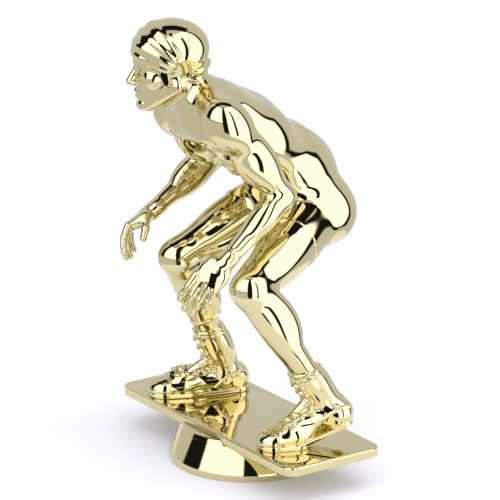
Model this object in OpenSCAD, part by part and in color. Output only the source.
// Figure trophy: a crouching wrestler on a rectangular plate and a flared round foot.
// +Z is up, the figure faces -Y and its left side is +X.
// The origin is on the thread axis, at the plane that the foot stands on.

/* [Foot] */
// Radius of the foot where it stands
foot_r = 21.9; // [18:0.1:30]
// Height of the vertical rim around the foot
foot_rim_h = 1.9; // [1:0.1:4]
// Radius of the foot at its top edge
foot_top_r = 18; // [17:0.1:25]
// Height of the foot's top edge
foot_h = 10.3; // [8:0.1:18]
// Thickness of the foot's sloping wall
foot_wall = 2; // [1.2:0.1:3]
// Thickness of the deck under the plate
deck_t = 2.4; // [1.6:0.1:4]
// Number of stiffening ribs under the deck
rib_count = 6; // [3:1:10]
// Thickness of a rib
rib_t = 1.4; // [1:0.1:3]

/* [Thread insert] */
// Minor radius of the tapped hole, for a 1/4-20 rod
tap_r = 2.55; // [1.5:0.05:4]
// Radius of the brass insert's body
insert_r = 4.2; // [3.5:0.1:6]
// Radius of the insert's knurled collar
collar_r = 4.7; // [4:0.1:7]
// Wall around the insert
boss_wall = 2; // [1.2:0.1:4]

/* [Plate] */
// Length of the plate
plate_l = 82; // [66:0.5:110]
// Width of the plate
plate_w = 31; // [26:0.5:40]
// Thickness of the plate
plate_t = 2.8; // [2:0.1:5]
// Radius of the plate's corners
corner_r = 3.5; // [1:0.1:8]
// Depth of the channel in the foot that the plate sits in
seat_d = 1.4; // [0.5:0.1:2.5]

/* [Figure] */
// Height of the figure above the plate
figure_h = 115.3; // [90:0.5:150]
// Thickness of the moulded shells of the body and head
shell_t = 1.8; // [1:0.1:2.5]

/* [Fasteners and fits] */
// Radius of the screws' threads
screw_r = 1.1; // [0.8:0.05:1.5]
// Radius of the screws' heads
head_r = 2.1; // [1.6:0.05:2.6]
// Height of the screws' heads
head_h = 1.2; // [0.8:0.1:1.6]
// Distance of the plate screws from the thread axis
plate_screw_x = 11; // [9.5:0.1:13]
// How far the boot screws reach into the boots
boot_bite = 4.5; // [3:0.1:6]
// Radius of the pegs that join hips, legs and boots
peg_r = 2.2; // [1.5:0.1:2.6]
// Radius of the pegs that join arms and hands
arm_peg_r = 1.5; // [1:0.1:1.9]
// Length of a peg
peg_l = 4; // [3:0.1:5]
// Radial clearance around a peg, and at its end
peg_gap = 0.1; // [0.05:0.05:0.3]
// Clearance around the plate in its channel
seat_gap = 0.1; // [0.05:0.05:0.3]
// Radial clearance around a screw where it passes through
screw_gap = 0.2; // [0.1:0.05:0.4]
// Gap along the seam between two shells
seam_gap = 0.04; // [0.02:0.01:0.2]

/* [Hidden] */
GOLD = [0.80, 0.74, 0.52];
BRASS = [0.72, 0.55, 0.25];
STEEL = [0.60, 0.61, 0.62];
// A little extra length where one solid is cut by another
CUT = 0.5;
// Points around one ring of a lofted body
RING_N = 20;
// Steps around half a ring of the torso
HALF_N = 13;

// Heights of the foot and plate
SEAT_Z = foot_h - seat_d;
DECK_Z = SEAT_Z - deck_t;
TOP_Z = SEAT_Z + plate_t;
INSERT_L = DECK_Z;
COLLAR_H = 1.5;

// Joints of the figure, measured from the middle of the plate's top for a 115.3 mm figure
FIGURE_NOMINAL_H = 115.3;
K = figure_h / FIGURE_NOMINAL_H;
function at(x, y, z) = [x * K, y * K, z * K + TOP_Z];
HIP_L = at(6.8, 19.2, 58);
HIP_R = at(-10.5, 21.8, 58.5);
KNEE_L = at(21.5, -14.5, 45.2);
KNEE_R = at(-15.4, -12.5, 43.8);
ANKLE_L = at(28, 5.8, 11);
ANKLE_R = at(-19.5, 4.8, 7.6);
SHOULDER_L = at(16.3, -19, 91.5);
SHOULDER_R = at(-16.4, -13, 86);
ELBOW_L = at(19.4, -2.4, 68.4);
ELBOW_R = at(-27, 6, 66);
WRIST_L = at(19.9, -20.9, 53.8);
WRIST_R = at(-25.8, -13.8, 54.6);
WAIST = at(-1.4, 11.5, 68.5);
CHEST = at(-0.4, -8, 82);
NECK = at(0.6, -20.8, 93.2);
CROWN = at(-4, -20.1, FIGURE_NOMINAL_H - 0.6);
SIDE = unit([1, -0.17, 0]);
SHOULDER_SIDE = unit(SHOULDER_L - SHOULDER_R);

// How much of each thigh the hips' legs cover, and of each shin the boots leave bare
HEM = 0.42;
CUFF_L = 0.7;
CUFF_R = 0.62;

function unit(v) = v / norm(v);
function blend(a, b, t) = a + (b - a) * t;

// Points of an arc of an oval about c: n is its side axis, m its inner axis
function oval(c, n, m, side, inner, outer, a0 = 0, a1 = 360, count = RING_N) = [
    for (i = [0 : count - 1])
        let (a = a0 + (a1 - a0) * i / (a1 - a0 == 360 ? count : count - 1))
            c + n * side * cos(a) + m * sin(a) * (sin(a) > 0 ? inner : outer)
];

// A closed solid through rings that all have the same number of points
module loft(rings) {
    n = len(rings[0]);
    last = len(rings) - 1;
    points = [for (r = rings) each winding(rings) > 0 ? r : [for (i = [1 : n]) r[n - i]]];
    sides = [
        for (k = [0 : last - 1], i = [0 : n - 1])
            let (j = (i + 1) % n, a = k * n, b = (k + 1) * n)
                each [[a + i, b + i, a + j], [a + j, b + i, b + j]]
    ];
    first_cap = [for (i = [0 : n - 1]) [len(points), i, (i + 1) % n]];
    last_cap = [for (i = [0 : n - 1]) [len(points) + 1, last * n + (i + 1) % n, last * n + i]];
    polyhedron(concat(points, [centre(rings[0]), centre(rings[last])]),
               concat(sides, first_cap, last_cap));
}
function centre(ring) = sum(ring) / len(ring);
// Positive when the first ring turns right-handed about the way to the next
function winding(rings) =
    let (r = rings[0], c = centre(r))
        sum([for (i = [1 : len(r) - 1]) cross(r[i - 1] - c, r[i] - c)]) * (centre(rings[1]) - c);
function sum(list, i = 0) = i == len(list) - 1 ? list[i] : list[i] + sum(list, i + 1);

// Rings of a limb from a to b to c, bent about a pivot on the inner side of b.
// The shape gives, along the limb from 0 to 1, its side, inner and outer radii.
function limb_rings(a, b, c, shape, bend_r, steps, from = 0, to = 1) =
    let (
        d = unit(b - a),
        e = unit(c - b),
        n = unit(cross(d, e)),
        m = cross(n, d),
        turn = acos(d * e),
        trim = bend_r * tan(turn / 2),
        first = norm(b - a),
        total = first + norm(c - b)
    )
    [
        for (i = [0 : steps])
            let (
                u = blend(from, to, i / steps),
                s = u * total,
                f = min(max((s - first + trim) / (2 * trim), 0), 1) * turn,
                pivot = b - d * trim + m * bend_r,
                inward = m * cos(f) - d * sin(f),
                p = f == 0 ? a + d * s : f == turn ? b + e * (s - first) : pivot - inward * bend_r
            )
            oval(p, n, inward, K * lookup(u, shape[0]), K * lookup(u, shape[1]),
                 K * lookup(u, shape[2]))
    ];

// Turns what follows so that its +Z points along v from the point p
module along(p, v) {
    translate(p)
        rotate([0, acos(v[2] / norm(v)), atan2(v[1], v[0])])
            children();
}

module peg(p, v, r, length) {
    along(p, v) translate([0, 0, -CUT]) cylinder(r = r, h = length + CUT, $fn = 48);
}

module socket(p, v, r, length) {
    along(p, v) translate([0, 0, -CUT]) cylinder(r = r + peg_gap, h = length + peg_gap + CUT, $fn = 48);
}

// Everything on the far side of a plane through p with outward direction v
module beyond(p, v, reach = 60) {
    along(p, v) translate([-reach, -reach, 0]) cube([2 * reach, 2 * reach, 2 * reach]);
}

// ---- Foot, plate and fasteners ----

module base_foot() {
    color(GOLD)
    difference() {
        union() {
            rotate_extrude($fn = 96) polygon([
                [foot_r - foot_wall, 0],
                [foot_r, 0],
                [foot_r, foot_rim_h],
                [foot_top_r, foot_h],
                [0, foot_h],
                [0, DECK_Z],
                [foot_top_r - foot_wall, DECK_Z],
                [foot_r - foot_wall, foot_rim_h]
            ]);
            cylinder(r = collar_r + boss_wall, h = DECK_Z + CUT, $fn = 64);
            for (i = [0 : rib_count - 1])
                rotate([0, 0, 360 * (i + 0.5) / rib_count])
                    translate([collar_r + boss_wall - CUT, -rib_t / 2, DECK_Z - rib_depth()])
                        cube([foot_top_r - foot_wall + CUT - collar_r - boss_wall, rib_t,
                              rib_depth() + CUT]);
            for (x = [-plate_screw_x, plate_screw_x])
                translate([x, 0, screw_seat_z()])
                    cylinder(r = head_r + 1, h = DECK_Z - screw_seat_z() + CUT, $fn = 48);
        }
        plate_channel();
        insert_bore();
        for (x = [-plate_screw_x, plate_screw_x])
            translate([x, 0, screw_seat_z() - CUT])
                cylinder(r = screw_r + screw_gap, h = foot_h, $fn = 32);
    }
}
function rib_depth() = DECK_Z * 0.5;
function screw_seat_z() = DECK_Z - 1.5;

module plate_channel() {
    translate([-foot_r, -plate_w / 2 - seat_gap, SEAT_Z])
        cube([2 * foot_r, plate_w + 2 * seat_gap, seat_d + CUT]);
}

module insert_bore() {
    translate([0, 0, -CUT]) cylinder(r = insert_r, h = INSERT_L + CUT, $fn = 64);
    translate([0, 0, -CUT]) cylinder(r = collar_r, h = COLLAR_H + CUT, $fn = 64);
}

module thread_insert() {
    color(BRASS)
    difference() {
        union() {
            cylinder(r = insert_r, h = INSERT_L, $fn = 64);
            cylinder(r = collar_r, h = COLLAR_H, $fn = 64);
        }
        translate([0, 0, -CUT]) cylinder(r = tap_r, h = INSERT_L + 2 * CUT, $fn = 64);
    }
}

module plate() {
    color(GOLD)
    difference() {
        plate_blank();
        for (x = [-plate_screw_x, plate_screw_x])
            translate([x, 0, SEAT_Z - CUT])
                cylinder(r = screw_r, h = plate_t * 0.7 + CUT, $fn = 32);
        for (p = boot_screw_places())
            translate([p[0], p[1], SEAT_Z - CUT])
                cylinder(r = screw_r + screw_gap, h = plate_t + 2 * CUT, $fn = 32);
    }
}

// The plate is a cross of two slabs with a round column in each corner
module plate_blank() {
    dx = plate_l / 2 - corner_r;
    dy = plate_w / 2 - corner_r;
    translate([0, 0, SEAT_Z]) linear_extrude(plate_t) union() {
        square([plate_l, 2 * dy], center = true);
        square([2 * dx, plate_w], center = true);
        for (x = [-dx, dx], y = [-dy, dy])
            translate([x, y]) circle(r = corner_r, $fn = 48);
    }
}

module screw(p, head_z, tip_z) {
    translate([p[0], p[1], head_z - head_h]) cylinder(r = head_r, h = head_h, $fn = 32);
    translate([p[0], p[1], head_z - CUT]) cylinder(r = screw_r, h = tip_z - head_z + CUT, $fn = 32);
}

module plate_screws() {
    color(STEEL)
    for (x = [-plate_screw_x, plate_screw_x])
        screw([x, 0], screw_seat_z(), SEAT_Z + plate_t * 0.65);
}

function boot_screw_places() = [
    for (t = [0.2, 0.45]) each [blend(TOE_L, HEEL_L, t), blend(TOE_R, HEEL_R, t)]
];

module boot_screws() {
    color(STEEL)
    for (p = boot_screw_places())
        screw(p, SEAT_Z, TOP_Z + boot_bite);
}

// ---- Boots ----

TOE_L = at(23.4, -14.2, 0);
HEEL_L = at(31.4, 12.6, 0);
TOE_R = at(-28.4, -14.4, 0);
HEEL_R = at(-17.6, 13.4, 0);
BOOT_WIDTH = [[0, 1.6], [0.04, 3], [0.12, 4.2], [0.3, 5], [0.5, 4.4], [0.75, 3.7], [0.92, 3.4], [1, 1.8]];
BOOT_HEIGHT = [[0, 2.2], [0.1, 4.4], [0.3, 6.2], [0.5, 8.6], [0.75, 9.5], [0.92, 8], [1, 5.5]];
FLAT_SOLE = [[0, 0], [1, 0]];
RAISED_SOLE = [[0, 0], [0.48, 0], [0.6, 0.8], [0.8, 2.6], [1, 4.4]];
SOLE_DEPTH = 1;

// A slice across the boot, its sole lifted off the plate by the given height
function boot_ring(toe, heel, t, lift) =
    let (
        d = unit(heel - toe),
        p = blend(toe, heel, t) + [0, 0, K * (lookup(t, lift) + SOLE_DEPTH)],
        w = K * lookup(t, BOOT_WIDTH)
    )
    oval(p, cross([0, 0, 1], d), [0, 0, 1], w, K * lookup(t, BOOT_HEIGHT), K * SOLE_DEPTH * 1.6);

module boot(toe, heel, knee, ankle, cuff, lift) {
    top = blend(knee, ankle, cuff);
    axis = unit(top - ankle);
    front = unit(toe - heel);
    across = unit(cross(axis, front));
    fore = cross(across, axis);
    shaft = norm(top - ankle);
    difference() {
        union() {
            loft([for (i = [0 : 12]) boot_ring(toe, heel, i / 12, lift)]);
            loft([
                for (i = [0 : 6])
                    let (t = i / 6)
                        oval(ankle + axis * blend(-3 * K, shaft, t), across, fore,
                             K * blend(3.2, 4.6, t), K * blend(4.2, 4.4, t), K * blend(4.3, 5.4, t))
            ]);
        }
        beyond([0, 0, TOP_Z], [0, 0, -1]);
        socket(top, -axis, peg_r, peg_l);
        for (p = boot_screw_places())
            translate([p[0], p[1], TOP_Z - CUT])
                cylinder(r = screw_r, h = boot_bite + peg_gap + CUT, $fn = 32);
    }
}

module left_boot() {
    color(GOLD) boot(TOE_L, HEEL_L, KNEE_L, ANKLE_L, CUFF_L, RAISED_SOLE);
}

module right_boot() {
    color(GOLD) boot(TOE_R, HEEL_R, KNEE_R, ANKLE_R, CUFF_R, FLAT_SOLE);
}

// ---- Legs and hips ----

// Side, inner (back) and outer (front) radii along thigh and shin
LEG_SHAPE = [
    [[0, 7.4], [0.2, 7.2], [0.4, 5.6], [0.5, 5], [0.62, 5], [0.72, 4.8], [0.85, 3.8], [1, 3.2]],
    [[0, 8], [0.2, 7.4], [0.4, 5.4], [0.5, 5], [0.62, 5.6], [0.72, 5.6], [0.85, 4.4], [1, 3.6]],
    [[0, 7.6], [0.2, 7.6], [0.4, 6], [0.5, 5.4], [0.62, 4.8], [0.72, 4.4], [0.85, 3.8], [1, 3.4]]
];
KNEE_BEND_R = 6.4;

// Where along hip-knee-ankle a share of the thigh or of the shin lies
function thigh_share(hip, knee, ankle, t) = t * norm(knee - hip) / (norm(knee - hip) + norm(ankle - knee));
function shin_share(hip, knee, ankle, t) =
    (norm(knee - hip) + t * norm(ankle - knee)) / (norm(knee - hip) + norm(ankle - knee));

module leg(hip, knee, ankle, cuff) {
    hem = blend(hip, knee, HEM);
    top = blend(knee, ankle, cuff);
    loft(limb_rings(hip, knee, ankle, LEG_SHAPE, K * KNEE_BEND_R, 18,
                    thigh_share(hip, knee, ankle, HEM), shin_share(hip, knee, ankle, cuff)));
    peg(hem, hip - knee, peg_r, peg_l);
    peg(top, ankle - knee, peg_r, peg_l);
}

module left_leg() {
    color(GOLD) leg(HIP_L, KNEE_L, ANKLE_L, CUFF_L);
}

module right_leg() {
    color(GOLD) leg(HIP_R, KNEE_R, ANKLE_R, CUFF_R);
}

// The upper thigh in its trunk leg, a little wider than the bare thigh below the hem
TRUNK_SHAPE = [
    [[-0.11, 2], [-0.09, 5], [-0.05, 7.4], [0, 8.2], [0.2, 7.4], [0.3, 6.8]],
    [[-0.11, 2], [-0.09, 5], [-0.05, 7.6], [0, 8.6], [0.2, 7.8], [0.3, 7.2]],
    [[-0.11, 2], [-0.09, 5], [-0.05, 7.4], [0, 8.2], [0.2, 7.8], [0.3, 7.4]]
];

module trunk_leg(hip, knee, ankle) {
    loft(limb_rings(hip, knee, ankle, TRUNK_SHAPE, K * KNEE_BEND_R, 10, -0.11,
                    thigh_share(hip, knee, ankle, HEM)));
}

module hips() {
    color(GOLD)
    difference() {
        union() {
            loft(spine_rings(PELVIS_STEPS));
            trunk_leg(HIP_L, KNEE_L, ANKLE_L);
            trunk_leg(HIP_R, KNEE_R, ANKLE_R);
        }
        socket(blend(HIP_L, KNEE_L, HEM), HIP_L - KNEE_L, peg_r, peg_l);
        socket(blend(HIP_R, KNEE_R, HEM), HIP_R - KNEE_R, peg_r, peg_l);
        loft(torso_rings(0, 360, -seam_gap, 0, 0, 1));
    }
    peg(WAIST, CHEST - WAIST, waist_spigot_r(), peg_l);
}
// The spigot fills the narrow way of the torso's open end
function waist_spigot_r() = K * TORSO_BACK[0][1] - shell_t - 4 * peg_gap;

// ---- Torso ----

// The spine is a smooth curve from the seat to the neck
SEAT = at(-2.2, 22, 46.5);
TAIL = WAIST - (CHEST - WAIST) * 0.7;
function curve(a, b, c, t) = a * (1 - t) * (1 - t) + b * 2 * t * (1 - t) + c * t * t;
function slope(a, b, c, t) = unit((b - a) * (1 - t) + (c - b) * t);
PELVIS_STEPS = [for (i = [0 : 8]) i / 8];
PELVIS_SIDE = [[0, 5], [0.15, 9], [0.4, 13], [0.7, 12.6], [1, 10.4]];
PELVIS_FRONT = [[0, 3], [0.15, 6], [0.4, 8.5], [0.7, 9], [1, 8.6]];
PELVIS_BACK = [[0, 3], [0.15, 7.4], [0.4, 12.2], [0.7, 11.9], [1, 9.2]];
TORSO_SIDE = [[0, 10.4], [0.3, 11.4], [0.55, 12.2], [0.68, 13.2], [0.82, 13], [0.92, 9], [1, 5.4]];
TORSO_FRONT = [[0, 8.6], [0.3, 8.8], [0.6, 9.4], [0.8, 8], [1, 4.6]];
TORSO_BACK = [[0, 8.6], [0.3, 8.6], [0.6, 8.4], [0.8, 7.4], [1, 5.2]];

function spine_rings(steps) = [
    for (t = steps)
        let (d = slope(SEAT, TAIL, WAIST, t), m = unit(cross(d, SIDE)))
            oval(curve(SEAT, TAIL, WAIST, t), cross(m, d), m, K * lookup(t, PELVIS_SIDE),
                 K * lookup(t, PELVIS_FRONT), K * lookup(t, PELVIS_BACK))
];

// Rings of the torso or of half of it, shrunk by a wall and shifted across the seam
function torso_rings(a0, a1, wall, shift, from, to) = [
    for (i = [0 : 12])
        let (
            t = blend(from, to, i / 12),
            d = slope(WAIST, CHEST, NECK, t),
            m = unit(cross(d, blend(SIDE, SHOULDER_SIDE, 0.6)))
        )
        oval(curve(WAIST, CHEST, NECK, t) + m * shift, cross(m, d), m,
             K * lookup(t, TORSO_SIDE) - wall, K * lookup(t, TORSO_FRONT) - wall,
             K * lookup(t, TORSO_BACK) - wall, a0, a1, a1 - a0 == 360 ? 2 * HALF_N : HALF_N + 1)
];

module torso_shell(a0, a1, sign) {
    difference() {
        loft(torso_rings(a0, a1, 0, sign * seam_gap / 2, 0, 1));
        loft(torso_rings(a0, a1, shell_t, -sign * CUT, -0.05, 1.05));
        shoulder_seat(SHOULDER_L, SHOULDER_SIDE);
        shoulder_seat(SHOULDER_R, -SHOULDER_SIDE);
    }
}
// How far inside the shoulder joint the arm meets the torso
SHOULDER_IN = 4.6;
SEAT_R = 8;
function shoulder_face(p, v) = p - v * K * SHOULDER_IN;

module shoulder_seat(p, v) {
    along(shoulder_face(p, v), v) cylinder(r = K * SEAT_R, h = 3 * K * SHOULDER_IN, $fn = 64);
    socket(shoulder_face(p, v), -v, arm_peg_r, peg_l);
}

module torso_front() {
    color(GOLD) torso_shell(0, 180, 1);
}

module torso_back() {
    color(GOLD) torso_shell(180, 360, -1);
}

// ---- Arms and hands ----

ARM_SHAPE = [
    [[0, 5.6], [0.12, 6], [0.25, 5.2], [0.4, 4.4], [0.52, 4.2], [0.65, 4.4], [0.85, 3.1], [1, 2.7]],
    [[0, 4.6], [0.12, 5.6], [0.25, 5.4], [0.4, 4.6], [0.52, 4], [0.65, 4], [0.85, 2.8], [1, 2.3]],
    [[0, 4.6], [0.12, 5.8], [0.25, 5.4], [0.4, 4.4], [0.52, 4.4], [0.65, 4.2], [0.85, 2.8], [1, 2.3]]
];
ELBOW_BEND_R = 5;

module arm(shoulder, elbow, wrist, v) {
    face = shoulder_face(shoulder, v);
    rise = unit(shoulder - elbow) * 2.5 * K;
    difference() {
        loft(concat(
            [for (f = [0.35, 0.8]) dome_ring(shoulder, elbow, wrist, rise, f)],
            limb_rings(shoulder, elbow, wrist, ARM_SHAPE, K * ELBOW_BEND_R, 16)
        ));
        beyond(face + v * seam_gap, -v);
        socket(wrist, elbow - wrist, arm_peg_r, peg_l);
    }
    along(face + v * CUT, -v) cylinder(r = arm_peg_r, h = peg_l + CUT, $fn = 48);
}

// Rings that round the arm off above the shoulder joint
function dome_ring(shoulder, elbow, wrist, rise, f) =
    let (first = limb_rings(shoulder, elbow, wrist, ARM_SHAPE, K * ELBOW_BEND_R, 16, 0, 1)[0])
        [for (p = first) shoulder + (p - shoulder) * sin(90 * f) + rise * cos(90 * f)];

module left_arm() {
    color(GOLD) arm(SHOULDER_L, ELBOW_L, WRIST_L, SHOULDER_SIDE);
}

module right_arm() {
    color(GOLD) arm(SHOULDER_R, ELBOW_R, WRIST_R, -SHOULDER_SIDE);
}

// A finger or thumb as one rounded rod
module finger(a, b, r) {
    hull() {
        translate(a) sphere(r = r, $fn = 20);
        translate(b) sphere(r = r * 0.8, $fn = 20);
    }
}

// A hand that hangs from the wrist: d is the way it points, w the way its knuckles spread
module hand(wrist, forearm, d, w, thumb) {
    palm = K * 6.5;
    spread = K * 1.75;
    end = wrist + d * palm;
    difference() {
        union() {
            hull() {
                translate(wrist + d * K * 1.6) sphere(r = K * 2.2, $fn = 24);
                translate(end - w * spread * 1.2) sphere(r = K * 1.9, $fn = 24);
                translate(end + w * spread * 1.2) sphere(r = K * 1.9, $fn = 24);
            }
            for (i = [0 : 3])
                let (root = w * spread * (i - 1.5))
                    finger(end + root, end + root * 1.15 + d * K * FINGER_L[i], K * 0.95);
            finger(wrist + d * K * 2.5 + thumb * K * 1.2, wrist + d * K * 6.5 + thumb * K * 4.4, K * 1.05);
        }
        beyond(wrist + forearm * seam_gap, -forearm);
    }
    peg(wrist + forearm * CUT, -forearm, arm_peg_r, peg_l);
}
FINGER_L = [5.4, 6.6, 6.8, 6];

module left_hand() {
    d = unit([-0.35, -0.28, -0.9]);
    w = unit(cross(d, [0.75, -0.6, -0.1]));
    color(GOLD) hand(WRIST_L, unit(WRIST_L - ELBOW_L), d, w, unit([-0.6, 0.5, -0.3]));
}

module right_hand() {
    d = unit([-0.35, -0.1, -0.93]);
    w = unit(cross(d, [0.9, 0.3, -0.2]));
    color(GOLD) hand(WRIST_R, unit(WRIST_R - ELBOW_R), d, w, unit([0.5, -0.5, -0.5]));
}

// ---- Head ----

HEAD_SIDE = [[0, 4.9], [0.15, 4.9], [0.28, 6.4], [0.45, 7.8], [0.65, 8.8], [0.82, 8.2], [0.94, 5], [1, 1.4]];
HEAD_FRONT = [[0, 4.2], [0.12, 5], [0.2, 9.6], [0.3, 11], [0.5, 11.8], [0.7, 11.8], [0.85, 9.6],
              [0.95, 5.6], [1, 1.6]];
HEAD_BACK = [[0, 5], [0.15, 5.6], [0.3, 8.4], [0.45, 11], [0.65, 12.2], [0.82, 10.8], [0.94, 7], [1, 1.6]];
// The face looks a little to the figure's right and down
LOOK = unit([-0.5, -0.85, -0.1]);
HEAD_MID = NECK + (NECK - CHEST) * 0.42;

function head_rings(wall, from, to) = [
    for (i = [0 : 12])
        let (
            t = blend(from, to, i / 12),
            d = slope(NECK, HEAD_MID, CROWN, t),
            n = unit(cross(d, LOOK))
        )
        oval(curve(NECK, HEAD_MID, CROWN, t), n, cross(n, d),
             max(K * lookup(t, HEAD_SIDE) - wall, 0.4), max(K * lookup(t, HEAD_FRONT) - wall, 0.4),
             max(K * lookup(t, HEAD_BACK) - wall, 0.4))
];

// Half of the hollow head, on the side of the seam that v points to
module head_shell(v) {
    difference() {
        loft(head_rings(0, 0, 1));
        loft(head_rings(shell_t, -0.05, 0.9));
        beyond(curve(NECK, HEAD_MID, CROWN, 0.5) + v * seam_gap / 2, -v);
    }
}

// The nose, from its bridge to its tip
module nose() {
    face = curve(NECK, HEAD_MID, CROWN, 0.45);
    hull() {
        translate(face + (LOOK * 11 + [0, 0, 3.4]) * K) sphere(r = 0.9 * K, $fn = 24);
        translate(face + (LOOK * 12.9 - [0, 0, 0.6]) * K) sphere(r = 1.2 * K, $fn = 24);
        translate(face + (LOOK * 10.6 - [0, 0, 1]) * K) sphere(r = 1.5 * K, $fn = 24);
    }
}

module head_front() {
    color(GOLD) {
        head_shell(LOOK);
        nose();
    }
}

module head_back() {
    color(GOLD) head_shell(-LOOK);
}

base_foot();
plate();
thread_insert();
plate_screws();
boot_screws();
left_boot();
right_boot();
left_leg();
right_leg();
hips();
torso_front();
torso_back();
left_arm();
right_arm();
left_hand();
right_hand();
head_front();
head_back();
